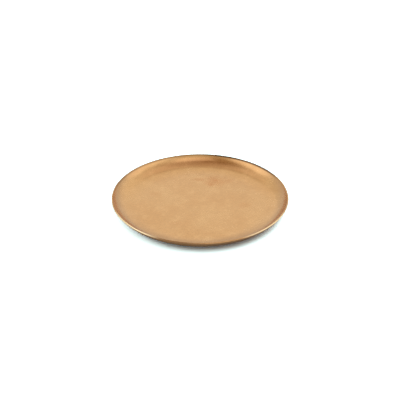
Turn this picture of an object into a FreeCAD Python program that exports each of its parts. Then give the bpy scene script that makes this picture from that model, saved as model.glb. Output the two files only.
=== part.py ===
"""Candle plate: a shallow dish of thin sheet metal that stands on four felt feet.

Lengths are in millimetres. +Z is up, and the origin is the point on the table under the plate's centre.
"""
import FreeCAD, Part
import math
import os

import Sketcher

# Driving dimensions, as they go into the sheet. Angles are in degrees.
SIZES = {
    # Dish: overall diameter over the lip, height of the lip above the underside of the base,
    # gauge of the sheet, inner radius and end slope of the gentle rise round the flat base, and inner
    # radius of the cove that turns the rise up into the wall.
    "plate_diameter": 180.0,
    "plate_height": 12.0,
    "sheet_thickness": 1.4,
    "rise_radius": 86.0,
    "rise_slope": 8.0,
    "cove_radius": 19.0,
    # Felt feet: die-cut discs, with the edge that meets the table rounded by wear.
    "foot_diameter": 12.0,
    "foot_thickness": 1.5,
    "foot_edge_rounding": 0.4,
    # Where the feet stand: on a circle about the plate's centre.
    "foot_circle_diameter": 110.0,
    "foot_count": 4,
    "first_foot_angle": 45.0,
    # Adhesive: a thin disc between each foot and the base, set in a little from the foot's edge.
    "adhesive_thickness": 0.2,
    "adhesive_inset": 0.3,
}

OUTPUT_FOLDER = "parts"


def make_size_sheet(doc):
    """The sheet that every sub-part's sizes are bound to."""
    sheet = doc.addObject("Spreadsheet::Sheet", "Sizes")
    for row, (name, value) in enumerate(SIZES.items(), start=1):
        sheet.set(f"A{row}", name)
        sheet.set(f"B{row}", str(value))
        sheet.setAlias(f"B{row}", name)
    doc.recompute()
    return sheet


def origin_plane(body, role):
    """The body's own origin plane with the given role, such as XY_Plane."""
    for feature in body.Origin.OriginFeatures:
        if feature.Role == role:
            return feature
    raise ValueError(f"{body.Label} has no plane {role}")


def attached_sketch(body, name, role):
    """An empty sketch that lies on one of the body's origin planes."""
    sketch = body.newObject("Sketcher::SketchObject", name)
    sketch.AttachmentSupport = [(origin_plane(body, role), "")]
    sketch.MapMode = "FlatFace"
    return sketch


def name_and_bind(sketch, constraint, name, expression):
    """Names a dimension of the sketch and ties it to the sheet."""
    sketch.renameConstraint(constraint, name)
    sketch.setExpression(f"Constraints.{name}", expression)


def draw_dish_profile(sketch):
    """Half section of the dish: base, rise, cove and wall of one even thickness, with a rounded lip.

    The sketch's vertical axis is the plate's axis, and the underside of the base lies at height zero.
    """
    thickness = SIZES["sheet_thickness"]
    rise_radius = SIZES["rise_radius"]
    cove_radius = SIZES["cove_radius"]
    rise_slope = math.radians(SIZES["rise_slope"])
    lip_radius = thickness / 2
    rise_middle = rise_radius + lip_radius
    cove_middle = cove_radius + lip_radius

    # The wall stops where the middle of the sheet reaches the lip's centre, which fixes its slope
    # and the radius of the flat base.
    lip_centre_x = SIZES["plate_diameter"] / 2 - lip_radius
    lip_centre_z = SIZES["plate_height"] - lip_radius
    rise_height = rise_middle * (1 - math.cos(rise_slope))
    cove_height = lip_centre_z - lip_radius - rise_height
    wall_slope = math.acos(math.cos(rise_slope) - cove_height / cove_middle)
    rise_width = rise_middle * math.sin(rise_slope)
    cove_width = cove_middle * (math.sin(wall_slope) - math.sin(rise_slope))
    base_radius = lip_centre_x - rise_width - cove_width

    normal = FreeCAD.Vector(0, 0, 1)
    foot = -math.pi / 2
    rise_end = foot + rise_slope
    wall_end = foot + wall_slope
    rise_centre = FreeCAD.Vector(base_radius, rise_radius + thickness, 0)
    centre_step = rise_radius - cove_radius
    centre_shift = FreeCAD.Vector(centre_step * math.sin(rise_slope), -centre_step * math.cos(rise_slope), 0)
    cove_centre = rise_centre + centre_shift
    lip_centre = FreeCAD.Vector(lip_centre_x, lip_centre_z, 0)
    centre_bottom = FreeCAD.Vector(0, 0, 0)
    base_edge_bottom = FreeCAD.Vector(base_radius, 0, 0)
    base_edge_top = FreeCAD.Vector(base_radius, thickness, 0)
    centre_top = FreeCAD.Vector(0, thickness, 0)

    def add_arc(centre_point, radius, first, last):
        circle = Part.Circle(centre_point, normal, radius)
        return sketch.addGeometry(Part.ArcOfCircle(circle, first, last))

    underside = sketch.addGeometry(Part.LineSegment(centre_bottom, base_edge_bottom))
    outer_rise = add_arc(rise_centre, rise_radius + thickness, foot, rise_end)
    outer_cove = add_arc(cove_centre, cove_radius + thickness, rise_end, wall_end)
    lip = add_arc(lip_centre, lip_radius, wall_end, wall_end + math.pi)
    inner_cove = add_arc(cove_centre, cove_radius, rise_end, wall_end)
    inner_rise = add_arc(rise_centre, rise_radius, foot, rise_end)
    top_face = sketch.addGeometry(Part.LineSegment(base_edge_top, centre_top))
    axis_edge = sketch.addGeometry(Part.LineSegment(centre_top, centre_bottom))

    # Point numbers of the sketcher: an edge's start and end, an arc's centre, and the sketch's own origin.
    start, end, centre = 1, 2, 3
    sketch_origin = (-1, 1)
    for constraint in (
        Sketcher.Constraint("Coincident", underside, start, *sketch_origin),
        Sketcher.Constraint("Coincident", axis_edge, end, underside, start),
        Sketcher.Constraint("Coincident", top_face, end, axis_edge, start),
        Sketcher.Constraint("Coincident", outer_rise, centre, inner_rise, centre),
        Sketcher.Constraint("Coincident", outer_cove, centre, inner_cove, centre),
        Sketcher.Constraint("Horizontal", underside),
        Sketcher.Constraint("Horizontal", top_face),
        Sketcher.Constraint("Vertical", axis_edge),
        Sketcher.Constraint("Tangent", underside, end, outer_rise, start),
        Sketcher.Constraint("Tangent", outer_rise, end, outer_cove, start),
        Sketcher.Constraint("Tangent", outer_cove, end, lip, start),
        Sketcher.Constraint("Tangent", lip, end, inner_cove, end),
        Sketcher.Constraint("Tangent", inner_cove, start, inner_rise, end),
        Sketcher.Constraint("Tangent", inner_rise, start, top_face, start),
    ):
        sketch.addConstraint(constraint)

    gauge = sketch.addConstraint(Sketcher.Constraint("DistanceY", axis_edge, end, axis_edge, start, thickness))
    spread = sketch.addConstraint(Sketcher.Constraint("Radius", inner_rise, rise_radius))
    tilt = sketch.addConstraint(Sketcher.Constraint("Angle", inner_rise, rise_slope))
    cove = sketch.addConstraint(Sketcher.Constraint("Radius", inner_cove, cove_radius))
    reach = sketch.addConstraint(Sketcher.Constraint("DistanceX", *sketch_origin, lip, centre, lip_centre_x))
    lift = sketch.addConstraint(Sketcher.Constraint("DistanceY", *sketch_origin, lip, centre, lip_centre_z))
    name_and_bind(sketch, gauge, "gauge", "Sizes.sheet_thickness")
    name_and_bind(sketch, spread, "rise_radius", "Sizes.rise_radius")
    name_and_bind(sketch, tilt, "rise_slope", "Sizes.rise_slope * 1 deg")
    name_and_bind(sketch, cove, "cove", "Sizes.cove_radius")
    name_and_bind(sketch, reach, "lip_reach", "Sizes.plate_diameter / 2 - Sizes.sheet_thickness / 2")
    name_and_bind(sketch, lift, "lip_lift", "Sizes.plate_height - Sizes.sheet_thickness / 2")


def make_plate_dish(doc):
    """The metal dish, spun from one disc of sheet: flat base, rise, cove, wall and rounded lip."""
    body = doc.addObject("PartDesign::Body", "PlateDish")
    body.Label = "plate_dish"
    profile = attached_sketch(body, "DishProfile", "XZ_Plane")
    draw_dish_profile(profile)
    spin = body.newObject("PartDesign::Revolution", "DishSpin")
    spin.Profile = profile
    spin.ReferenceAxis = (profile, ["V_Axis"])
    spin.Angle = 360
    body.setExpression(".Placement.Base.z", "Sizes.foot_thickness + Sizes.adhesive_thickness")
    return body


def place_on_foot_circle(sub_part, index):
    """Sets a sub-part at its place on the circle of feet."""
    angle = f"(Sizes.first_foot_angle + {index} * 360 / Sizes.foot_count) * 1 deg"
    sub_part.setExpression(".Placement.Base.x", f"Sizes.foot_circle_diameter / 2 * cos({angle})")
    sub_part.setExpression(".Placement.Base.y", f"Sizes.foot_circle_diameter / 2 * sin({angle})")


def lowest_edge(feature):
    """Name of the feature's lowest edge."""
    edges = feature.Shape.Edges
    lowest = min(range(len(edges)), key=lambda index: edges[index].CenterOfMass.z)
    return f"Edge{lowest + 1}"


def make_felt_foot(doc, index):
    """One die-cut felt disc, which stands on the table."""
    number = index + 1
    body = doc.addObject("PartDesign::Body", f"FeltFoot{number}")
    body.Label = f"felt_foot_{number}"

    outline = attached_sketch(body, f"FootOutline{number}", "XY_Plane")
    centre = FreeCAD.Vector(0, 0, 0)
    normal = FreeCAD.Vector(0, 0, 1)
    circle = outline.addGeometry(Part.Circle(centre, normal, SIZES["foot_diameter"] / 2))
    outline.addConstraint(Sketcher.Constraint("Coincident", circle, 3, -1, 1))
    diameter = outline.addConstraint(Sketcher.Constraint("Diameter", circle, SIZES["foot_diameter"]))
    name_and_bind(outline, diameter, "foot_diameter", "Sizes.foot_diameter")

    disc = body.newObject("PartDesign::Pad", f"FootDisc{number}")
    disc.Profile = outline
    disc.setExpression("Length", "Sizes.foot_thickness")
    doc.recompute()

    wear = body.newObject("PartDesign::Fillet", f"FootWear{number}")
    wear.Base = (disc, [lowest_edge(disc)])
    wear.setExpression("Radius", "min(Sizes.foot_edge_rounding; Sizes.foot_thickness / 2)")
    body.Tip = wear
    place_on_foot_circle(body, index)
    return body


def make_foot_adhesive(doc, index):
    """The thin adhesive disc that holds one felt foot to the underside of the base."""
    number = index + 1
    disc = doc.addObject("Part::Cylinder", f"FootAdhesive{number}")
    disc.Label = f"foot_adhesive_{number}"
    disc.setExpression("Radius", "Sizes.foot_diameter / 2 - Sizes.adhesive_inset")
    disc.setExpression("Height", "Sizes.adhesive_thickness")
    disc.setExpression(".Placement.Base.z", "Sizes.foot_thickness")
    place_on_foot_circle(disc, index)
    return disc


def check_document(doc, sub_parts):
    """Stops with a message if anything failed to build."""
    for item in doc.Objects:
        if "Invalid" in item.State or "Error" in item.State:
            raise RuntimeError(f"{item.Label} failed: {item.State}")
    for sub_part in sub_parts:
        shape = sub_part.Shape
        if shape.isNull() or not shape.isValid() or len(shape.Solids) != 1:
            raise RuntimeError(f"{sub_part.Label} isn't one valid solid")


def export_sub_parts(sub_parts):
    """Writes each sub-part to its own file, named after its label."""
    os.makedirs(OUTPUT_FOLDER, exist_ok=True)
    for sub_part in sub_parts:
        sub_part.Shape.exportStep(os.path.join(OUTPUT_FOLDER, f"{sub_part.Label}.step"))
        box = sub_part.Shape.optimalBoundingBox(False, False)
        size = f"{box.XLength:.2f} x {box.YLength:.2f} x {box.ZLength:.2f} mm"
        print(f"{sub_part.Label}: {size}, from z {box.ZMin:.2f}, volume {sub_part.Shape.Volume:.1f} mm3")


def main():
    doc = FreeCAD.newDocument("CandlePlate")
    make_size_sheet(doc)
    sub_parts = [make_plate_dish(doc)]
    for index in range(SIZES["foot_count"]):
        sub_parts.append(make_felt_foot(doc, index))
        sub_parts.append(make_foot_adhesive(doc, index))
    doc.recompute()
    check_document(doc, sub_parts)
    export_sub_parts(sub_parts)


main()
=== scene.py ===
"""The candle plate as it looks: a spun, aged brass dish on felt feet, in a pale studio.

Lengths are in metres. +Z is up, and the origin is the point on the table under the plate's centre.
The photograph looks along +Y from 30 degrees above the table.
"""
from __future__ import annotations

import logging
import math
from dataclasses import dataclass, field
from enum import Enum
from typing import NamedTuple, Sequence, Union

import bpy
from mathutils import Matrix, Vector, noise


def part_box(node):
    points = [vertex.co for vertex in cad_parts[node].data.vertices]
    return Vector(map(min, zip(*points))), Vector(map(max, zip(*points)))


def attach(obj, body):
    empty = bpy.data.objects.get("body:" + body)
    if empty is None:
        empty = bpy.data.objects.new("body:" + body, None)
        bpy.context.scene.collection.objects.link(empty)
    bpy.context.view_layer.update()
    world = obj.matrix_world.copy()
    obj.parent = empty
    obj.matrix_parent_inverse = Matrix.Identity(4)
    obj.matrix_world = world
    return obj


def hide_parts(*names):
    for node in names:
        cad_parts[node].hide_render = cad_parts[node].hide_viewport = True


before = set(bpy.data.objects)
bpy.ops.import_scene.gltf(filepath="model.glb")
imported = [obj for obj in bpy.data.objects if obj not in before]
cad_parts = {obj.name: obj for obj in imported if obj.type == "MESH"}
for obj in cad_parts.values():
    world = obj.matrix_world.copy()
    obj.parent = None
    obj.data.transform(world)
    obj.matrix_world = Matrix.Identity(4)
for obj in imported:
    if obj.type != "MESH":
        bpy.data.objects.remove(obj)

log = logging.getLogger("candle_plate")

MM = 0.001
BODY = "root"


class Colour(NamedTuple):
    """A colour in linear light."""

    red: float
    green: float
    blue: float

    @classmethod
    def seen(cls, red: int, green: int, blue: int) -> "Colour":
        """Makes a colour from the 8-bit values that a screen shows.

        Args:
            red: Red, from 0 to 255.
            green: Green, from 0 to 255.
            blue: Blue, from 0 to 255.

        Returns:
            The same colour in linear light.
        """

        def straighten(level: int) -> float:
            share = level / 255
            return share / 12.92 if share <= 0.04045 else ((share + 0.055) / 1.055) ** 2.4

        return cls(straighten(red), straighten(green), straighten(blue))

    @property
    def rgba(self) -> tuple[float, float, float, float]:
        """The colour with a full alpha, as a colour socket takes it."""
        return (*self, 1.0)


def add_item(name: str, data: bpy.types.ID) -> bpy.types.Object:
    """Adds an object to the scene.

    Args:
        name: The object's name.
        data: Its mesh, lamp or camera.

    Returns:
        The object.
    """
    item = bpy.data.objects.new(name, data)
    bpy.context.scene.collection.objects.link(item)
    return item


class Wire:
    """The value of one socket, which can be used in plain arithmetic."""

    def __init__(self, bench: "Bench", socket: bpy.types.NodeSocket) -> None:
        """Keeps the socket and the bench that it belongs to."""
        self.bench = bench
        self.socket = socket

    def __add__(self, other: "Value") -> "Wire":
        """Sum."""
        return self.bench.math("ADD", self, other)

    def __radd__(self, other: "Value") -> "Wire":
        """Sum."""
        return self.bench.math("ADD", other, self)

    def __sub__(self, other: "Value") -> "Wire":
        """Difference."""
        return self.bench.math("SUBTRACT", self, other)

    def __mul__(self, other: "Value") -> "Wire":
        """Product."""
        return self.bench.math("MULTIPLY", self, other)

    def __truediv__(self, other: "Value") -> "Wire":
        """Quotient."""
        return self.bench.math("DIVIDE", self, other)


Value = Union[float, Wire]
Limits = tuple[float, float]


def band(place: float, around: Limits) -> Limits:
    """Turns two limits that are measured from a place into plain values."""
    return place + around[0], place + around[1]


class Bench:
    """Adds nodes to one tree and joins them up."""

    def __init__(self, tree: bpy.types.NodeTree) -> None:
        """Takes the tree to work on."""
        self.tree = tree

    def node(self, kind: str, feeds: dict[str | int, object] | None = None,
             **settings: object) -> bpy.types.Node:
        """Adds a node.

        Args:
            kind: The node's type name.
            feeds: What feeds its inputs, by their names or numbers.
            settings: Properties of the node to set.

        Returns:
            The new node.
        """
        made = self.tree.nodes.new(kind)
        for name, value in settings.items():
            setattr(made, name, value)
        for key, value in (feeds or {}).items():
            self.plug(made.inputs[key], value)
        return made

    def plug(self, socket: bpy.types.NodeSocket, value: object) -> None:
        """Feeds a socket.

        Args:
            socket: The input socket.
            value: A wire or socket to link, or a constant to set on the socket itself.
        """
        if isinstance(value, Wire):
            self.tree.links.new(value.socket, socket)
        elif isinstance(value, bpy.types.NodeSocket):
            self.tree.links.new(value, socket)
        elif isinstance(value, Colour):
            socket.default_value = value.rgba
        else:
            socket.default_value = value

    def math(self, operation: str, *values: Value) -> Wire:
        """Adds a math node.

        Args:
            operation: The node's operation, such as ADD.
            values: One, two or three operands.

        Returns:
            The result.
        """
        made = self.node("ShaderNodeMath", dict(enumerate(values)), operation=operation)
        return Wire(self, made.outputs[0])

    def sine(self, angle: Value) -> Wire:
        """Sine of an angle in radians."""
        return self.math("SINE", angle)

    def cosine(self, angle: Value) -> Wire:
        """Cosine of an angle in radians."""
        return self.math("COSINE", angle)

    def least(self, first: Value, second: Value) -> Wire:
        """The smaller of two values."""
        return self.math("MINIMUM", first, second)

    def most(self, first: Value, second: Value) -> Wire:
        """The larger of two values."""
        return self.math("MAXIMUM", first, second)

    def distance(self, across: Value, along: Value) -> Wire:
        """Length of a step that has two parts at right angles."""
        return self.math("SQRT", across * across + along * along)

    def ramp(self, value: Value, low: float, high: float, start: Value = 0.0, end: Value = 1.0,
             smooth: bool = False) -> Wire:
        """Carries a value from one range to another and holds it at the ends.

        Args:
            value: The value to carry over.
            low: Where the result is start.
            high: Where the result is end.
            start: Result at low and below it.
            end: Result at high and above it.
            smooth: Whether the ends are eased.

        Returns:
            The carried value.
        """
        feeds = dict(enumerate((value, low, high, start, end)))
        curve = "SMOOTHSTEP" if smooth else "LINEAR"
        made = self.node("ShaderNodeMapRange", feeds, interpolation_type=curve)
        return Wire(self, made.outputs[0])

    def vector(self, x: Value, y: Value, z: Value) -> Wire:
        """Joins three values in a vector."""
        return Wire(self, self.node("ShaderNodeCombineXYZ", {0: x, 1: y, 2: z}).outputs[0])

    def parts(self, vector: object) -> tuple[Wire, Wire, Wire]:
        """Splits a vector in its three values."""
        x, y, z = self.node("ShaderNodeSeparateXYZ", {0: vector}).outputs
        return Wire(self, x), Wire(self, y), Wire(self, z)

    def mottle(self, place: object, size: float, detail: float = 2.0, roughness: float = 0.5,
               distortion: float = 0.0) -> Wire:
        """Cloudy noise about 0.5.

        Args:
            place: Where to read it, in metres.
            size: Size of its largest clouds, in metres.
            detail: How many finer layers it has.
            roughness: How strong the finer layers are.
            distortion: How far the clouds are pulled about.

        Returns:
            The noise, mostly from 0.25 to 0.75.
        """
        made = self.node("ShaderNodeTexNoise", {
            "Vector": place,
            "Scale": 1 / size,
            "Detail": detail,
            "Roughness": roughness,
            "Distortion": distortion,
        })
        return Wire(self, made.outputs["Fac"])

    def blend(self, share: Value, base: object, over: object, mode: str = "MIX") -> Wire:
        """Lays one colour over another.

        Args:
            share: How much of the upper colour shows, from 0 to 1.
            base: The lower colour.
            over: The upper colour.
            mode: How the two combine.

        Returns:
            The combined colour.
        """
        feeds = {0: share, 6: base, 7: over}
        made = self.node("ShaderNodeMix", feeds, data_type="RGBA", blend_type=mode)
        return Wire(self, made.outputs[2])

    def turned(self, place: object, angle: float, stretch: tuple[float, float, float]) -> Wire:
        """Turns a place about the plate's axis and stretches it.

        Args:
            place: The place to read, in metres.
            angle: Turn about +Z, in radians.
            stretch: Scale along each axis after the turn.

        Returns:
            The changed place.
        """
        feeds = {"Vector": place, "Angle": angle}
        turn = self.node("ShaderNodeVectorRotate", feeds, rotation_type="Z_AXIS")
        feeds = {0: turn.outputs[0], 1: stretch}
        scale = self.node("ShaderNodeVectorMath", feeds, operation="MULTIPLY")
        return Wire(self, scale.outputs[0])


class Surface(Bench):
    """The node tree of one material, with its main shader."""

    def __init__(self, name: str) -> None:
        """Makes the material.

        Args:
            name: The material's name.
        """
        self.material = bpy.data.materials.new(name)
        self.material.use_nodes = True
        super().__init__(self.material.node_tree)
        self.shader = self.tree.nodes["Principled BSDF"]
        self.place = Wire(self, self.node("ShaderNodeTexCoord").outputs["Object"])

    def wear(self, name: str, value: object) -> None:
        """Sets or links one input of the main shader."""
        self.plug(self.shader.inputs[name], value)

    def from_axis(self) -> Wire:
        """Distance from the plate's axis."""
        x, y, _ = self.parts(self.place)
        return self.distance(x, y)

    def relief(self, height: Wire, depth: float) -> None:
        """Gives the surface a fine relief.

        Args:
            height: Height of the relief, from 0 to 1.
            depth: What a height of 1 means, in metres.
        """
        feeds = {"Strength": 1.0, "Distance": depth, "Height": height}
        self.wear("Normal", self.node("ShaderNodeBump", feeds).outputs[0])


class Stain(NamedTuple):
    """One tarnished spot on the base: its centre and half sizes in metres, and how dark it is."""

    x: float
    y: float
    half_width: float
    half_depth: float
    strength: float


class Scratch(NamedTuple):
    """Rub marks that lie one way: their turn about +Z in radians, and their length in metres."""

    turn: float
    length: float


class RimStretch(NamedTuple):
    """A stretch of the rim: its middle, from +X, and half width in degrees, and its strength."""

    turn: float
    half_width: float
    strength: float

    def limit(self, share: float) -> float:
        """Cosine of the turn from its middle to a share of its half width."""
        return math.cos(math.radians(self.half_width * share))


@dataclass(frozen=True)
class AgedBrass:
    """Matt brass, lacquered and aged: cloudy, speckled and tarnished in the cove, with painted
    shade at the near cove, patina and painted shade on the lip, and painted highlights on the lip.

    The two heights and two radii come from the dish, and other places are measured from them. A
    span is the part of a pattern's values over which its effect comes in.
    """

    underside: float
    cove_foot: float
    wall_start: float
    lip_height: float
    honey: Colour = Colour.seen(208, 163, 118)
    rosy: Colour = Colour.seen(202, 155, 109)
    pale: Colour = Colour.seen(213, 170, 126)
    stain: Colour = Colour.seen(196, 134, 84)
    # The cove's patina colour, also used for the painted shade at the near side.
    cove_tarnish_and_shade: Colour = Colour.seen(160, 118, 80)
    # The edge colour darkens the lip: partly patina, partly painted shade.
    edge: Colour = Colour.seen(106, 79, 57)
    # A painted highlight: the cream colour laid on the lip where it reflects the side softboxes.
    painted_highlight: Colour = Colour.seen(248, 224, 190)
    roughness: float = 0.25
    lacquer: float = 0.25
    lacquer_roughness: float = 0.25
    cloud_size: float = 38 * MM
    cloud_span: Limits = (0.36, 0.64)
    patch_size: float = 9 * MM
    pale_span: Limits = (0.5, 0.8)
    palest: float = 0.6
    patch_shade: Limits = (0.97, 1.03)
    grain_size: float = 1.3 * MM
    grain_shade: Limits = (0.91, 1.07)
    shade_span: Limits = (0.3, 0.7)
    speck_size: float = 2.6 * MM
    speck_span: Limits = (0.68, 0.76)
    speck_shade: Limits = (1.0, 0.88)
    ring_pitch: float = 0.9 * MM
    rings_show: Limits = (-25 * MM, 5 * MM)
    relief_depth: float = 0.016 * MM
    scratch_width: float = 0.45 * MM
    scratch_span: Limits = (0.68, 0.78)
    scratch_patch_size: float = 30 * MM
    scratch_patch_span: Limits = (0.45, 0.62)
    scratches: tuple[Scratch, ...] = (
        Scratch(0.35, 16 * MM),
        Scratch(1.1, 11 * MM),
        Scratch(-0.6, 14 * MM),
        Scratch(2.4, 19 * MM),
    )
    stain_edge_size: float = 7 * MM
    stain_raggedness: float = 1.2
    stain_fade: Limits = (1.15, 0.1)
    stains_above: Limits = (0.4 * MM, 1.0 * MM)
    stains: tuple[Stain, ...] = (
        Stain(16 * MM, 47 * MM, 16 * MM, 14 * MM, 0.5),
        Stain(17 * MM, 49 * MM, 6 * MM, 4 * MM, 0.8),
        Stain(12 * MM, 40 * MM, 5 * MM, 4 * MM, 0.65),
        Stain(-1 * MM, 51 * MM, 11 * MM, 4 * MM, 0.4),
        Stain(28 * MM, 49 * MM, 12 * MM, 7 * MM, 0.25),
        Stain(46 * MM, -3 * MM, 9 * MM, 7 * MM, 0.22),
        Stain(-47 * MM, 20 * MM, 9 * MM, 6 * MM, 0.12),
        Stain(-22 * MM, -38 * MM, 12 * MM, 7 * MM, 0.12),
    )
    cove_dullness: float = 0.04
    cove_raggedness: float = 8 * MM
    # Painted shade: the rise and cove on the camera's side are darkened where their reflections
    # show shade.
    near_painted_shade: tuple[RimStretch, ...] = (RimStretch(272, 50, 0.36),)
    near_painted_shade_starts: Limits = (-6 * MM, 1 * MM)
    near_painted_shade_ends: Limits = (2 * MM, -4 * MM)
    # Partly patina, partly painted shade: stretches of the lip darkened where they reflect the dim
    # room.
    lip_patina_and_shade: tuple[RimStretch, ...] = (
        RimStretch(57, 30, 0.95),
        RimStretch(95, 70, 0.42),
        RimStretch(140, 32, 0.5),
        RimStretch(253, 18, 0.5),
        RimStretch(288, 20, 0.12),
    )
    # Painted highlights: stretches of the lip lightened where they reflect the side softboxes.
    lip_painted_highlight: tuple[RimStretch, ...] = (
        RimStretch(222, 18, 1.0),
        RimStretch(318, 17, 0.8),
    )
    lip_raggedness: float = 0.4 * MM
    lip_band: Limits = (-1.75 * MM, -1.05 * MM)
    full_share: float = 0.5
    faded_share: float = 1.35

    def stained(self, surface: Surface) -> Wire:
        """Where the stains lie.

        Args:
            surface: The material to build in.

        Returns:
            The stains' strength, from 0 to 1.
        """
        x, y, z = surface.parts(surface.place)
        edge = surface.mottle(surface.place, self.stain_edge_size, detail=4, roughness=0.65)
        ragged = (edge - 0.5) * self.stain_raggedness
        total: Value = 0.0
        for stain in self.stains:
            across = (x - stain.x) / stain.half_width
            along = (y - stain.y) / stain.half_depth
            reach = surface.distance(across, along) + ragged
            spot = surface.ramp(reach, *self.stain_fade, smooth=True)
            total = surface.most(total, spot * stain.strength)
        return total * surface.ramp(z, *band(self.underside, self.stains_above))

    def scratched(self, surface: Surface) -> Wire:
        """Where fine rub marks cross the base.

        Args:
            surface: The material to build in.

        Returns:
            The marks' strength, from 0 to 1.
        """
        total: Value = 0.0
        for turn, length in self.scratches:
            stretched = surface.turned(surface.place, turn, (self.scratch_width / length, 1.0, 1.0))
            lines = surface.mottle(stretched, self.scratch_width, detail=1)
            total = surface.most(total, surface.ramp(lines, *self.scratch_span))
        patchy = surface.mottle(surface.place, self.scratch_patch_size, detail=2)
        return total * surface.ramp(patchy, *self.scratch_patch_span, smooth=True)

    def spin_lines(self, surface: Surface) -> Wire:
        """Height of the fine rings that spinning left, which are clearest near the cove."""
        radius = surface.from_axis()
        rings = surface.mottle(surface.vector(radius, 0.0, 0.0), self.ring_pitch, detail=2)
        return rings * surface.ramp(radius, *band(self.cove_foot, self.rings_show), 0.25, 1.0)

    def along_rim(self, surface: Surface, stretches: Sequence[RimStretch]) -> Wire:
        """Where given stretches of the rim lie.

        Args:
            surface: The material to build in.
            stretches: The stretches.

        Returns:
            The strength of the strongest stretch at each place.
        """
        x, y, _ = surface.parts(surface.place)
        radius = surface.distance(x, y)
        total: Value = 0.0
        for stretch in stretches:
            turn = math.radians(stretch.turn)
            nearness = (x * math.cos(turn) + y * math.sin(turn)) / radius
            faded, full = stretch.limit(self.faded_share), stretch.limit(self.full_share)
            share = surface.ramp(nearness, faded, full, 0.0, stretch.strength, smooth=True)
            total = surface.most(total, share)
        return total

    def toned(self, surface: Surface, clouds: Wire, patches: Wire) -> Wire:
        """The metal's own colour.

        Args:
            surface: The material to build in.
            clouds: The large, soft pattern.
            patches: The smaller pattern.

        Returns:
            Honey and rosy clouds with pale patches.
        """
        colour = surface.blend(surface.ramp(clouds, *self.cloud_span), self.rosy, self.honey)
        paleness = surface.ramp(patches, *self.pale_span, 0.0, self.palest)
        return surface.blend(paleness, colour, self.pale)

    def tarnish_and_near_shade(self, surface: Surface, colour: Wire, patches: Wire) -> Wire:
        """Dulls the cove a little all round with tarnish, and paints shade on the rise and cove at
        the near side.

        Args:
            surface: The material to build in.
            colour: The colour so far.
            patches: The pattern that makes the cove's tarnish ragged.

        Returns:
            The changed colour.
        """
        radius = surface.from_axis()
        ragged = radius + (patches - 0.5) * self.cove_raggedness
        cove = surface.ramp(ragged, self.cove_foot, self.wall_start, smooth=True)
        colour = surface.blend(cove * self.cove_dullness, colour, self.cove_tarnish_and_shade)
        # Painted shade on the rise and cove at the near side.
        ring = surface.ramp(radius, *band(self.cove_foot, self.near_painted_shade_starts), smooth=True)
        ring = ring * surface.ramp(radius, *band(self.wall_start, self.near_painted_shade_ends))
        near = ring * self.along_rim(surface, self.near_painted_shade)
        return surface.blend(near, colour, self.cove_tarnish_and_shade)

    def lip_patina_shade_and_highlight(self, surface: Surface, colour: Wire, grain: Wire) -> Wire:
        """Darkens stretches of the lip with patina and painted shade, and lays painted highlights
        on others.

        Args:
            surface: The material to build in.
            colour: The colour so far.
            grain: The pattern that makes the lip's lower limit ragged.

        Returns:
            The changed colour.
        """
        _, _, z = surface.parts(surface.place)
        height = z + (grain - 0.5) * self.lip_raggedness
        lip = surface.ramp(height, *band(self.lip_height, self.lip_band))
        colour = surface.blend(lip * self.along_rim(surface, self.lip_patina_and_shade), colour, self.edge)
        return surface.blend(lip * self.along_rim(surface, self.lip_painted_highlight), colour, self.painted_highlight)

    def shaded(self, surface: Surface, colour: Wire, grain: Wire, patches: Wire) -> Wire:
        """Varies how light the colour is, with small dark specks.

        Args:
            surface: The material to build in.
            colour: The colour so far.
            grain: The finest pattern.
            patches: The middle pattern.

        Returns:
            The changed colour.
        """
        specks = surface.mottle(surface.place, self.speck_size, detail=2)
        shade = surface.ramp(grain, *self.shade_span, *self.grain_shade)
        shade = shade * surface.ramp(patches, *self.shade_span, *self.patch_shade)
        shade = shade * surface.ramp(specks, *self.speck_span, *self.speck_shade)
        feeds = {0: colour, "Scale": shade}
        tint = surface.node("ShaderNodeVectorMath", feeds, operation="SCALE")
        return Wire(surface, tint.outputs[0])

    def material(self) -> bpy.types.Material:
        """Builds the finish.

        Returns:
            The material.
        """
        surface = Surface("aged_brass")
        clouds = surface.mottle(surface.place, self.cloud_size, detail=3, distortion=0.4)
        patches = surface.mottle(surface.place, self.patch_size, detail=4, roughness=0.6)
        grain = surface.mottle(surface.place, self.grain_size, detail=3, roughness=0.6)
        stained = self.stained(surface)
        scratched = self.scratched(surface)

        colour = self.toned(surface, clouds, patches)
        # Cove tarnish, with painted shade at the near side.
        colour = self.tarnish_and_near_shade(surface, colour, patches)
        colour = surface.blend(stained, colour, self.stain)
        colour = surface.blend(scratched * 0.25, colour, self.pale)
        # Lip: patina with painted shade, and painted highlights.
        colour = self.lip_patina_shade_and_highlight(surface, colour, grain)
        dull = (clouds - 0.5) * 0.12 + (grain - 0.5) * 0.12 + stained * 0.06 - scratched * 0.05
        surface.wear("Base Color", self.shaded(surface, colour, grain, patches))
        surface.wear("Metallic", 1.0)
        surface.wear("Roughness", self.roughness + dull)
        surface.wear("Coat Weight", self.lacquer)
        surface.wear("Coat Roughness", self.lacquer_roughness)
        height = grain + self.spin_lines(surface) * 0.45 + scratched * 0.35
        surface.relief(height, self.relief_depth)
        return surface.material


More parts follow.
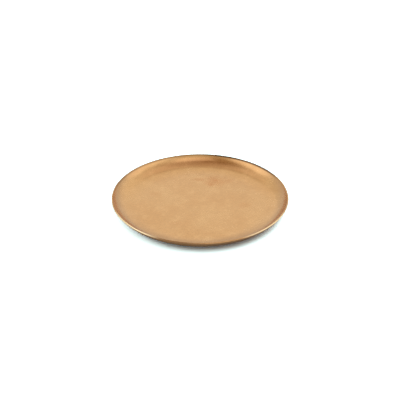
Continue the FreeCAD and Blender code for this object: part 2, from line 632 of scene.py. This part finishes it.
@dataclass(frozen=True)
class PressedFelt:
    """Brown pressed felt: matt fibres matted together, lighter where they stand up."""

    deep: Colour = Colour.seen(72, 56, 45)
    light: Colour = Colour.seen(118, 95, 77)
    strand_size: float = 0.22 * MM
    tuft_size: float = 1.1 * MM
    relief_depth: float = 0.06 * MM

    def material(self) -> bpy.types.Material:
        """Builds the finish.

        Returns:
            The material.
        """
        surface = Surface("pressed_felt")
        strands: Value = 0.0
        for angle in (0.2, 1.25, 2.3):
            laid = surface.turned(surface.place, angle, (0.15, 1.0, 1.0))
            strands = surface.most(strands, surface.mottle(laid, self.strand_size, detail=2))
        tufts = surface.mottle(surface.place, self.tuft_size, detail=4, roughness=0.7)
        mixed = surface.ramp(strands * 0.6 + tufts * 0.5, 0.45, 0.75)
        surface.wear("Base Color", surface.blend(mixed, self.deep, self.light))
        surface.wear("Roughness", 0.95)
        surface.wear("Sheen Weight", 0.35)
        surface.wear("Sheen Roughness", 0.5)
        surface.relief(strands + tufts, self.relief_depth)
        return surface.material


@dataclass(frozen=True)
class AdhesiveFilm:
    """Cloudy, slightly glossy adhesive between a foot and the base."""

    clear: Colour = Colour.seen(222, 214, 190)
    cloudy: Colour = Colour.seen(198, 187, 158)
    bubble_size: float = 0.7 * MM
    relief_depth: float = 0.02 * MM

    def material(self) -> bpy.types.Material:
        """Builds the finish.

        Returns:
            The material.
        """
        surface = Surface("adhesive_film")
        bubbles = surface.mottle(surface.place, self.bubble_size, detail=3)
        cloudiness = surface.ramp(bubbles, 0.4, 0.65)
        surface.wear("Base Color", surface.blend(cloudiness, self.clear, self.cloudy))
        surface.wear("Roughness", surface.ramp(bubbles, 0.3, 0.7, 0.3, 0.5))
        surface.wear("Coat Weight", 0.2)
        surface.relief(bubbles, self.relief_depth)
        return surface.material


class ShapeTree(Bench):
    """A Geometry Nodes tree with named inputs."""

    def __init__(self, name: str) -> None:
        """Makes an empty tree with one geometry output.

        Args:
            name: The tree's name.
        """
        super().__init__(bpy.data.node_groups.new(name, "GeometryNodeTree"))
        self.tree.interface.new_socket(
            name="Geometry", in_out="OUTPUT", socket_type="NodeSocketGeometry")
        self.entry = self.node("NodeGroupInput")
        self.exit = self.node("NodeGroupOutput")
        self.identifiers: dict[str, str] = {}

    def input(self, name: str, socket_type: str = "NodeSocketFloat") -> Wire:
        """Adds a named input.

        Args:
            name: The input's name.
            socket_type: Its socket type.

        Returns:
            The input's value inside the tree.
        """
        made = self.tree.interface.new_socket(name=name, in_out="INPUT", socket_type=socket_type)
        self.identifiers[name] = made.identifier
        return Wire(self, self.entry.outputs[name])

    def deliver(self, geometry: object, material: Wire) -> None:
        """Ends the tree: makes instances real and gives them their material.

        Args:
            geometry: The finished geometry.
            material: The material input.
        """
        realize = self.node("GeometryNodeRealizeInstances", {0: geometry})
        feeds = {"Geometry": realize.outputs[0], "Material": material}
        dress = self.node("GeometryNodeSetMaterial", feeds)
        self.plug(self.exit.inputs[0], dress.outputs[0])

    def grow(self, name: str, values: dict[str, object],
             start: bpy.types.Mesh | None = None) -> bpy.types.Object:
        """Runs the tree and keeps its result as a plain mesh.

        Args:
            name: Name of the new piece.
            values: A value for each named input.
            start: The mesh that the tree works on, where it needs one.

        Returns:
            The piece, with no modifier left.
        """
        piece = add_item(name, start or bpy.data.meshes.new(name))
        modifier = piece.modifiers.new(name, "NODES")
        modifier.node_group = self.tree
        for label, value in values.items():
            modifier[self.identifiers[label]] = value
        depsgraph = bpy.context.evaluated_depsgraph_get()
        mesh = bpy.data.meshes.new_from_object(piece.evaluated_get(depsgraph), depsgraph=depsgraph)
        piece.modifiers.clear()
        piece.data = mesh
        mesh.name = name
        mesh.materials.clear()
        mesh.materials.append(values["Material"])
        mesh.polygons.foreach_set("material_index", [0] * len(mesh.polygons))
        return piece


class SectionEnds(NamedTuple):
    """Where each stretch of the dish's section ends, as a share of the section's whole way."""

    underside: float = 0.17
    outer_rise: float = 0.23
    outer_cove: float = 0.42
    lip: float = 0.52
    inner_cove: float = 0.71
    inner_rise: float = 0.78


@dataclass
class SpunDish:
    """The metal dish: base, gentle rise, cove and wall of one even sheet, ending in a rounded lip.

    The cove's tarnish starts and is full at two insets, which are measured inwards from the rim.
    """

    node: str = "plate_dish"
    gauge: float = 1.4 * MM
    rise_radius: float = 86 * MM
    rise_slope: float = math.radians(8)
    cove_radius: float = 19 * MM
    segments: int = 320
    stations: int = 181
    ends: SectionEnds = SectionEnds()
    ripple: float = 0.03 * MM
    ripple_size: float = 34 * MM
    seed: int = 7
    weld: float = 0.002 * MM
    cove_inset: float = 18 * MM
    wall_inset: float = 4 * MM
    rim_radius: float = field(init=False)
    underside: float = field(init=False)
    height: float = field(init=False)

    def __post_init__(self) -> None:
        """Reads the dish's outer sizes from the frame."""
        low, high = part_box(self.node)
        self.rim_radius = (high.x - low.x) / 2
        self.underside = low.z
        self.height = high.z - low.z

    @property
    def wall_slope(self) -> float:
        """Slope of the wall at the lip, in radians."""
        half = self.gauge / 2
        rise = (self.rise_radius + half) * (1 - math.cos(self.rise_slope))
        climb = self.height - self.gauge - rise
        return math.acos(math.cos(self.rise_slope) - climb / (self.cove_radius + half))

    @property
    def base_radius(self) -> float:
        """Radius of the flat base."""
        half = self.gauge / 2
        rise_width = (self.rise_radius + half) * math.sin(self.rise_slope)
        turned = math.sin(self.wall_slope) - math.sin(self.rise_slope)
        cove_width = (self.cove_radius + half) * turned
        return self.rim_radius - half - rise_width - cove_width

    def lathe(self) -> ShapeTree:
        """Builds the tree that turns the dish's section round its axis.

        Returns:
            The tree, with the dish's sizes as its inputs.
        """
        tree = ShapeTree("spun_dish")
        base, rise_radius, rise_slope, cove, gauge, slope, underside, ripple, seed = (
            tree.input(name) for name in (
                "Base Radius", "Rise Radius", "Rise Slope", "Cove Radius", "Gauge", "Wall Slope",
                "Underside", "Ripple", "Seed",
            )
        )
        segments = tree.input("Segments", "NodeSocketInt")
        stations = tree.input("Stations", "NodeSocketInt")
        material = tree.input("Material", "NodeSocketMaterial")

        feeds = {"Vertices X": segments + 1, "Vertices Y": stations}
        grid = tree.node("GeometryNodeMeshGrid", feeds)
        across, along, _ = tree.parts(tree.node("GeometryNodeInputPosition").outputs[0])
        turn = (across + 0.5) * math.tau
        station = along + 0.5

        # The section runs out under the base, up the outer rise and cove, over the lip, and back
        # down the inner side to the axis. Each stretch adds its own share of the way.
        ends = self.ends
        out = tree.ramp(station, 0.0, ends.underside)
        lift_off = tree.ramp(station, ends.underside, ends.outer_rise) * rise_slope
        up = tree.ramp(station, ends.outer_rise, ends.outer_cove, rise_slope, slope)
        over = tree.ramp(station, ends.outer_cove, ends.lip) * math.pi + slope
        down = tree.ramp(station, ends.lip, ends.inner_cove, slope, rise_slope)
        settle = tree.ramp(station, ends.inner_cove, ends.inner_rise, rise_slope, 0.0)
        back = tree.ramp(station, ends.inner_rise, 1.0)
        half = gauge / 2
        reach = base * (out - back)
        rise: Value = 0.0
        for radius, angle, first in (
            (rise_radius + gauge, lift_off, 0.0),
            (cove + gauge, up, rise_slope),
            (half, over, slope),
            (cove, down, slope),
            (rise_radius, settle, rise_slope),
        ):
            reach = reach + radius * (tree.sine(angle) - tree.sine(first))
            rise = rise + radius * (tree.cosine(first) - tree.cosine(angle))

        x = reach * tree.cosine(turn)
        y = reach * tree.sine(turn)
        wave = tree.node("ShaderNodeTexNoise", {
            "Vector": tree.vector(x, y, 0.0),
            "W": seed,
            "Scale": 1 / self.ripple_size,
            "Detail": 1.0,
        }, noise_dimensions="4D")
        inside = tree.ramp(reach / base, 0.6, 0.95, 1.0, 0.0)
        lift = (Wire(tree, wave.outputs["Fac"]) - 0.5) * ripple * inside
        position = tree.vector(x, y, underside + rise + lift)
        feeds = {"Geometry": grid.outputs["Mesh"], "Position": position}
        shaped = tree.node("GeometryNodeSetPosition", feeds)

        feeds = {"Geometry": shaped.outputs[0], "Distance": self.weld}
        closed = tree.node("GeometryNodeMergeByDistance", feeds)
        smooth = tree.node("GeometryNodeSetShadeSmooth", {"Geometry": closed.outputs[0]})
        tree.deliver(smooth.outputs[0], material)
        return tree

    def build(self) -> bpy.types.Object:
        """Makes the dish and puts it in the place of its CAD node.

        Returns:
            The dish.
        """
        finish = AgedBrass(
            underside=self.underside,
            cove_foot=self.rim_radius - self.cove_inset,
            wall_start=self.rim_radius - self.wall_inset,
            lip_height=self.underside + self.height,
        )
        values = {
            "Base Radius": self.base_radius,
            "Rise Radius": self.rise_radius,
            "Rise Slope": self.rise_slope,
            "Cove Radius": self.cove_radius,
            "Gauge": self.gauge,
            "Wall Slope": self.wall_slope,
            "Underside": self.underside,
            "Ripple": self.ripple,
            "Seed": float(self.seed),
            "Segments": self.segments,
            "Stations": self.stations,
            "Material": finish.material(),
        }
        dish = self.lathe().grow("spun_dish", values)
        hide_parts(self.node)
        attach(dish, BODY)
        return dish


@dataclass
class FeltFoot:
    """One felt disc: a matted, slightly uneven body with loose fibres round its side."""

    number: int
    segments: int = 72
    rings: int = 14
    corner: float = 0.35 * MM
    corner_steps: int = 5
    lumps: float = 0.1 * MM
    lump_frequency: float = 1400.0
    lump_shift: float = 1000.0
    fibre_length: float = 0.7 * MM
    fibre_radius: float = 0.018 * MM
    fibres_per_square_mm: float = 7.0

    @property
    def node(self) -> str:
        """The CAD node that this foot replaces."""
        return f"felt_foot_{self.number}"

    def section(self, radius: float, thickness: float) -> list[tuple[float, float]]:
        """Half section of the disc, from the middle of its lower face to that of its upper face.

        Args:
            radius: The disc's radius.
            thickness: The disc's thickness.

        Returns:
            Points as distance from the axis and height.
        """
        steps = self.corner_steps
        angles = [math.pi / 2 * turn / steps for turn in range(steps + 1)]
        falling = [self.corner * (1 - math.sin(angle)) for angle in angles]
        growing = [self.corner * (1 - math.cos(angle)) for angle in angles]
        points = [(radius * ring / self.rings, 0.0) for ring in range(self.rings)]
        points += [(radius - inset, lift) for inset, lift in zip(falling, growing)]
        points += [(radius - inset, thickness - drop) for inset, drop in zip(growing, falling)]
        points += [(radius * ring / self.rings, thickness) for ring in reversed(range(self.rings))]
        return points

    def body_mesh(self) -> bpy.types.Mesh:
        """Makes the matted disc, in its place under the base.

        Returns:
            A closed mesh.
        """
        low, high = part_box(self.node)
        centre = (low + high) / 2
        radius = (high.x - low.x) / 2
        thickness = high.z - low.z
        section = self.section(radius - self.lumps / 2, thickness)
        inner = section[1:-1]

        foot = Vector((centre.x, centre.y, low.z))
        pattern = Vector((centre.x, centre.y, 0)) * self.lump_shift
        points = [Vector((centre.x, centre.y, low.z + section[0][1]))]
        for reach, lift in inner:
            for step in range(self.segments):
                angle = math.tau * step / self.segments
                offset = Vector((reach * math.cos(angle), reach * math.sin(angle), lift))
                outward = offset.normalized() if lift not in (0.0, thickness) else Vector()
                lump = noise.noise(pattern + offset * self.lump_frequency)
                points.append(foot + offset + outward * lump * self.lumps)
        points.append(Vector((centre.x, centre.y, low.z + section[-1][1])))

        faces = []
        last = len(points) - 1
        top = last - self.segments
        for step in range(self.segments):
            after = (step + 1) % self.segments
            faces.append((0, 1 + after, 1 + step))
            faces.append((last, top + step, top + after))
            for ring in range(len(inner) - 1):
                near = 1 + ring * self.segments
                far = near + self.segments
                faces.append((near + step, near + after, far + after, far + step))
        mesh = bpy.data.meshes.new(f"{self.node}_body")
        mesh.from_pydata(points, [], faces)
        mesh.shade_smooth()
        return mesh

    @staticmethod
    def fuzz() -> ShapeTree:
        """Builds the tree that sets loose fibres on the side of a disc.

        Returns:
            The tree, which keeps the disc and adds its fibres.
        """
        tree = ShapeTree("felt_fuzz")
        disc = tree.input("Disc", "NodeSocketGeometry")
        density, length, radius, ceiling = (
            tree.input(name) for name in ("Density", "Fibre Length", "Fibre Radius", "Ceiling")
        )
        seed = tree.input("Seed", "NodeSocketInt")
        material = tree.input("Material", "NodeSocketMaterial")

        most_upward = 0.8
        _, _, upward = tree.parts(tree.node("GeometryNodeInputNormal").outputs[0])
        on_side = tree.math("LESS_THAN", tree.math("ABSOLUTE", upward), most_upward)
        feeds = {"Mesh": disc, "Selection": on_side, "Density": density, "Seed": seed}
        scatter = tree.node("GeometryNodeDistributePointsOnFaces", feeds)

        # A fibre leaves the side and bends over. Its middle and tip are given as how far they lie
        # along the side and out of it, in fibre lengths.
        middle, tip = (0.15, 0.4), (0.85, 0.3)
        curl_steps, fibre_sides = 4, 3
        curl = tree.node("GeometryNodeCurveQuadraticBezier", {
            "Resolution": curl_steps,
            "Start": (0.0, 0.0, 0.0),
            "Middle": tree.vector(length * middle[0], 0.0, length * middle[1]),
            "End": tree.vector(length * tip[0], 0.0, length * tip[1]),
        })
        feeds = {"Resolution": fibre_sides, "Radius": radius}
        strand = tree.node("GeometryNodeCurvePrimitiveCircle", feeds)
        feeds = {"Curve": curl.outputs[0], "Profile Curve": strand.outputs[0], "Fill Caps": True}
        fibre = tree.node("GeometryNodeCurveToMesh", feeds)

        shortest, longest = 0.4, 1.0
        roll = tree.node("FunctionNodeRandomValue", {3: math.tau, "Seed": seed}, data_type="FLOAT")
        feeds = {"Axis": (0.0, 0.0, 1.0), "Angle": roll.outputs[1]}
        spin = tree.node("FunctionNodeAxisAngleToRotation", feeds)
        feeds = {0: scatter.outputs["Rotation"], 1: spin.outputs[0]}
        twist = tree.node("FunctionNodeRotateRotation", feeds, rotation_space="LOCAL")
        feeds = {2: shortest, 3: longest, "Seed": seed}
        size = tree.node("FunctionNodeRandomValue", feeds, data_type="FLOAT")
        place = tree.node("GeometryNodeInstanceOnPoints", {
            "Points": scatter.outputs["Points"],
            "Instance": fibre.outputs[0],
            "Rotation": twist.outputs[0],
            "Scale": size.outputs[1],
        })

        # No fibre reaches below the table or above its foot.
        real = tree.node("GeometryNodeRealizeInstances", {0: place.outputs[0]})
        x, y, z = tree.parts(tree.node("GeometryNodeInputPosition").outputs[0])
        held = tree.least(tree.most(z, radius), ceiling)
        feeds = {"Geometry": real.outputs[0], "Position": tree.vector(x, y, held)}
        pressed = tree.node("GeometryNodeSetPosition", feeds)
        both = tree.node("GeometryNodeJoinGeometry")
        tree.plug(both.inputs[0], pressed.outputs[0])
        tree.plug(both.inputs[0], disc)
        tree.deliver(both.outputs[0], material)
        return tree

    def build(self, tree: ShapeTree, material: bpy.types.Material) -> bpy.types.Object:
        """Makes the foot and puts it in the place of its CAD node.

        Args:
            tree: The fuzz tree.
            material: The felt's finish.

        Returns:
            The foot.
        """
        values = {
            "Density": self.fibres_per_square_mm / MM ** 2,
            "Fibre Length": self.fibre_length,
            "Fibre Radius": self.fibre_radius,
            "Ceiling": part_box(self.node)[1].z,
            "Seed": self.number,
            "Material": material,
        }
        foot = tree.grow(f"felt_disc_{self.number}", values, self.body_mesh())
        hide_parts(self.node)
        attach(foot, BODY)
        return foot


@dataclass
class Underpinnings:
    """What the dish stands on: its felt feet, and the adhesive that holds them."""

    felt: PressedFelt = PressedFelt()
    film: AdhesiveFilm = AdhesiveFilm()

    def build(self) -> list[bpy.types.Object]:
        """Makes every foot that the frame has, and dresses the adhesive over it.

        Returns:
            The feet.
        """
        felt = self.felt.material()
        film = self.film.material()
        tree = FeltFoot.fuzz()
        feet = []
        for name in sorted(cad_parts):
            if name.startswith("felt_foot_"):
                feet.append(FeltFoot(int(name.rsplit("_", 1)[1])).build(tree, felt))
            elif name.startswith("foot_adhesive_"):
                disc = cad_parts[name].data
                disc.materials.clear()
                disc.materials.append(film)
        return feet


class Side(Enum):
    """The side of the plate a softbox stands on: its turn from the camera's side in degrees."""

    LEFT = -81.0
    RIGHT = 82.0
    FRONT = 12.0
    BACK = 160.0
    BACK_RIGHT = 132.0
    BACK_LEFT = -135.0


def facing(turn: float, elevation: float) -> Vector:
    """Direction from the plate to a place in the studio.

    Args:
        turn: Turn from the camera's side, in degrees, to the right if positive.
        elevation: Height above the horizon, in degrees.

    Returns:
        A direction of length 1.
    """
    across, rise = math.radians(turn), math.radians(elevation)
    level = math.cos(rise)
    return Vector((math.sin(across) * level, -math.cos(across) * level, math.sin(rise)))


@dataclass(frozen=True)
class Softbox:
    """A large soft lamp that looks at the plate."""

    side: Side
    elevation: float
    width: float
    height: float
    radiance: float
    distance: float = 2.5

    def build(self) -> bpy.types.Object:
        """Makes the lamp.

        Returns:
            The lamp's object.
        """
        lamp = bpy.data.lights.new(f"softbox_{self.side.name.lower()}", "AREA")
        lamp.shape = "RECTANGLE"
        lamp.size = self.width
        lamp.size_y = self.height
        lamp.energy = self.radiance * math.pi * self.width * self.height
        item = add_item(lamp.name, lamp)
        towards = facing(self.side.value, self.elevation)
        item.location = towards * self.distance
        item.rotation_euler = towards.to_track_quat("Z", "Y").to_euler()
        return item


@dataclass(frozen=True)
class DarkCorner:
    """A dim, warm part of the room, which the far wall of the plate reflects; angles in degrees."""

    turn: float = -38.0
    elevation: float = 60.0
    half_width: float = 22.7
    half_height: float = 23.0
    softness: float = 0.5
    left_over: Colour = Colour(0.54, 0.41, 0.25)


@dataclass(frozen=True)
class Studio:
    """A white room with softboxes, dimmer and warmer overhead, and with one dark corner."""

    low: Colour = Colour(0.82, 0.83, 0.8)
    shoulder: Colour = Colour(0.99, 0.985, 0.79)
    zenith: Colour = Colour(0.69, 0.55, 0.41)
    low_elevation: float = 5.0
    shoulder_elevation: float = 41.5
    dark_corner: DarkCorner = DarkCorner()
    floor_radius: float = 6.0
    floor_albedo: float = 0.55
    floor_in_gloss: float = 0.9
    # The floor's painted shadow from occlusion under the plate: its level in glossy rays and its
    # colour in view.
    painted_shadow_in_gloss: float = 0.48
    floor_in_view: Colour = Colour(1.86, 2.5, 3.08)
    painted_shadow_in_view: Colour = Colour(0.6, 0.52, 0.5)
    floor_sides: int = 96
    painted_shadow_reach: float = 0.0255
    painted_shadow_samples: int = 24
    openness_in_gloss: Limits = (0.3, 0.95)
    openness_in_view: Limits = (0.06, 0.29)
    # The painted shadow's occlusion leans this way, so that it is darker on the right and at the
    # front.
    shadow_lean: Vector = Vector((-0.31, 0.3, 1.0))
    softboxes: tuple[Softbox, ...] = (
        Softbox(Side.LEFT, elevation=36.0, width=2.45, height=1.46, radiance=0.62),
        Softbox(Side.RIGHT, elevation=23.0, width=2.9, height=2.14, radiance=0.45),
        Softbox(Side.FRONT, elevation=62.5, width=1.62, height=1.04, radiance=0.62),
        Softbox(Side.BACK, elevation=34.0, width=3.3, height=1.07, radiance=0.18),
        Softbox(Side.BACK_RIGHT, elevation=60.0, width=1.4, height=1.0, radiance=0.24),
        Softbox(Side.BACK_LEFT, elevation=56.0, width=1.0, height=0.9, radiance=0.2),
    )

    def room(self) -> None:
        """Makes the light from all round, and the white that the camera sees behind the plate."""
        world = bpy.data.worlds.new("studio")
        world.use_nodes = True
        bpy.context.scene.world = world
        bench = Bench(world.node_tree)
        world.node_tree.nodes.clear()
        x, y, z = bench.parts(bench.node("ShaderNodeTexCoord").outputs["Generated"])
        low = math.sin(math.radians(self.low_elevation))
        shoulder = math.sin(math.radians(self.shoulder_elevation))
        light = bench.blend(bench.ramp(z, low, shoulder), self.low, self.shoulder)
        light = bench.blend(bench.ramp(z, shoulder, 1.0), light, self.zenith)
        corner = self.dark_corner
        towards = facing(corner.turn, corner.elevation)
        across = facing(corner.turn + 90, 0.0)
        upwards = towards.cross(across)
        sideways = x * across.x + y * across.y
        lengthways = x * upwards.x + y * upwards.y + z * upwards.z
        half_width = math.sin(math.radians(corner.half_width))
        half_height = math.sin(math.radians(corner.half_height))
        reach = bench.distance(sideways / half_width, lengthways / half_height)
        dark = bench.ramp(reach, 1 + corner.softness, 1 - corner.softness, smooth=True)
        light = bench.blend(dark, light, corner.left_over, mode="MULTIPLY")
        background = bench.node("ShaderNodeBackground", {"Color": light})
        white = bench.node("ShaderNodeBackground", {"Color": Colour(1.0, 1.0, 1.0)})
        seen = bench.node("ShaderNodeLightPath").outputs["Is Camera Ray"]
        feeds = {0: seen, 1: background.outputs[0], 2: white.outputs[0]}
        choice = bench.node("ShaderNodeMixShader", feeds)
        bench.node("ShaderNodeOutputWorld", {"Surface": choice.outputs[0]})

    def floor(self) -> bpy.types.Object:
        """Makes the floor. Its white is lifted where it is seen, and a painted shadow, darker where
        the plate overhangs it, is laid into what camera and glossy rays see.

        Returns:
            The floor.
        """
        surface = Surface("studio_floor")
        path = surface.node("ShaderNodeLightPath")
        leaning = self.shadow_lean.normalized()
        overhang = surface.node("ShaderNodeAmbientOcclusion", {
            "Distance": self.painted_shadow_reach,
            "Normal": surface.vector(leaning.x, leaning.y, leaning.z),
        }, samples=self.painted_shadow_samples)
        openness = Wire(surface, overhang.outputs["AO"])
        # Painted shadow: glossy and camera rays see the floor darkened where the plate overhangs
        # it.
        shadow, free = self.painted_shadow_in_gloss, self.floor_in_gloss
        in_gloss = surface.ramp(openness, *self.openness_in_gloss, shadow, free)
        level = surface.ramp(path.outputs["Is Glossy Ray"], 0.0, 1.0, self.floor_albedo, in_gloss)
        unseen = surface.vector(level, level, level)
        free_of_painted_shadow = surface.ramp(openness, *self.openness_in_view, smooth=True)
        lifted = surface.blend(free_of_painted_shadow, self.painted_shadow_in_view, self.floor_in_view)
        in_view = surface.most(Wire(surface, path.outputs["Is Camera Ray"]),
                               Wire(surface, path.outputs["Is Transmission Ray"]))
        white = surface.blend(in_view, unseen, lifted)
        paint = surface.node("ShaderNodeBsdfDiffuse", {"Color": white})
        surface.plug(surface.tree.nodes["Material Output"].inputs["Surface"], paint.outputs[0])

        angles = [math.tau * step / self.floor_sides for step in range(self.floor_sides)]
        reach = self.floor_radius
        points = [(reach * math.cos(angle), reach * math.sin(angle), 0.0) for angle in angles]
        mesh = bpy.data.meshes.new("floor")
        mesh.from_pydata(points, [], [tuple(range(self.floor_sides))])
        mesh.materials.append(surface.material)
        item = add_item("floor", mesh)
        return item

    def build(self) -> None:
        """Sets up the room, the floor and the lamps."""
        self.room()
        self.floor()
        for softbox in self.softboxes:
            softbox.build()


@dataclass(frozen=True)
class PhotoCamera:
    """The camera at the photograph's angle: a long lens, looking down on the plate."""

    rim_height: float
    lens: float = 85.0
    sensor: float = 36.0
    distance: float = 0.9632
    elevation: float = 30.33
    aim: Vector = Vector((-0.00005, 0.0, 0.0078))
    nearest: float = 0.01
    farthest: float = 50.0

    def build(self) -> bpy.types.Object:
        """Makes the camera and gives it to the scene.

        Returns:
            The camera's object.
        """
        data = bpy.data.cameras.new("photo_camera")
        data.lens = self.lens
        data.sensor_width = self.sensor
        data.clip_start = self.nearest
        data.clip_end = self.farthest
        item = add_item("photo_camera", data)
        rise = math.radians(self.elevation)
        away = Vector((0.0, -math.cos(rise), math.sin(rise))) * self.distance
        item.location = away + Vector((0, 0, self.rim_height))
        item.rotation_euler = (item.location - self.aim).to_track_quat("Z", "Y").to_euler()
        bpy.context.scene.camera = item
        return item


def main() -> None:
    """Builds the plate, the studio and the camera, and reports each piece."""
    logging.basicConfig(level=logging.INFO, format="%(name)s: %(message)s")
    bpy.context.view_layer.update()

    bpy.context.scene.view_settings.view_transform = "Standard"
    dish = SpunDish()
    pieces = [dish.build(), *Underpinnings().build()]
    for piece in pieces:
        log.info("%s: %d faces", piece.name, len(piece.data.polygons))

    Studio().build()
    PhotoCamera(rim_height=dish.underside + dish.height - dish.gauge / 2).build()
    log.info("studio and camera are ready")


if __name__ == "__main__":
    main()
